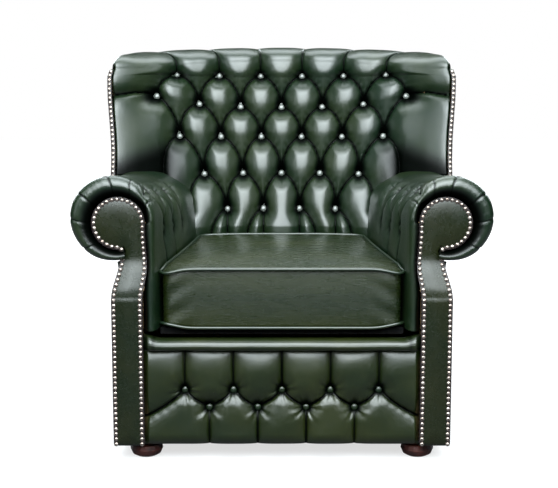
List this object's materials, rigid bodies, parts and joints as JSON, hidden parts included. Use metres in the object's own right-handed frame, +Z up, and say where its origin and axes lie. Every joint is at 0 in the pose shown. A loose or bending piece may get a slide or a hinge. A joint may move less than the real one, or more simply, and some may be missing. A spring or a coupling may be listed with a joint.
{
  "type": "chesterfield armchair",
  "caption": "High-backed deep-buttoned leather club armchair with scroll arms, studded facings, wings, a loose box cushion and bun feet.",
  "frame": {"origin": "middle of the footprint on the floor", "axes": "+Z up, front towards -Y, +X to the sitter's left, seen from the front to the right"},
  "size_m": [0.9966, 0.886, 0.974],
  "materials": {
    "green_leather": "glossy hand-aged dark green hide",
    "beech": "planed unfinished beech",
    "mahogany": "polished dark red stain",
    "spring_steel": "drawn wire",
    "antique_brass": "darkened antique brass",
    "foam": "plain wrapped stuffing",
    "hessian": "coarse jute",
    "black_cloth": "black cotton cloth"
  },
  "bodies": {
    "chair": {"arm_facing_left": "green_leather", "arm_facing_right": "green_leather", "arm_pad_left": "green_leather", "arm_pad_right": "green_leather", "arm_rail_left": "beech", "arm_rail_right": "beech", "arm_stump_left": "beech", "arm_stump_right": "beech", "arm_tack_rail_left": "beech", "arm_tack_rail_right": "beech", "back_post_left": "beech", "back_post_right": "beech", "back_rail": "beech", "back_stuffing": "foam", "back_tack_rail": "beech", "back_top_rail": "beech", "back_webbing": "hessian", "corner_block_front_left": "beech", "corner_block_front_right": "beech", "corner_block_rear_left": "beech", "corner_block_rear_right": "beech", "dust_cover": "black_cloth", "foot_front_left": "mahogany", "foot_front_right": "mahogany", "foot_rear_left": "mahogany", "foot_rear_right": "mahogany", "front_panel": "green_leather", "front_rail": "beech", "inside_back": "green_leather", "outside_arm_left": "green_leather", "outside_arm_right": "green_leather", "outside_back": "green_leather", "outside_wing_left": "green_leather", "outside_wing_right": "green_leather", "seat_deck": "hessian", "seat_lip": "green_leather", "seat_spring_1": "spring_steel", "seat_spring_2": "spring_steel", "seat_spring_3": "spring_steel", "seat_spring_4": "spring_steel", "side_rail_left": "beech", "side_rail_right": "beech", "wing_rail_left": "beech", "wing_rail_right": "beech", "wing_stile_left": "beech", "wing_stile_right": "beech"},
    "seat_cushion": {"seat_cushion_cover": "green_leather", "seat_cushion_core": "foam", "cushion_piping_bottom": "green_leather", "cushion_piping_top": "green_leather", "zip_tape": "black_cloth"},
    "zip_slider": {"zip_slider": "antique_brass"}
  },
  "joints": [
    {"name": "cushion_slide", "type": "slide", "parent": "chair", "child": "seat_cushion", "axis": [0, -1, 0], "range_m": [0, 0.6]},
    {"name": "zip_slide", "type": "slide", "parent": "seat_cushion", "child": "zip_slider", "axis": [1, 0, 0], "range_m": [0, 0.186]}
  ]
}
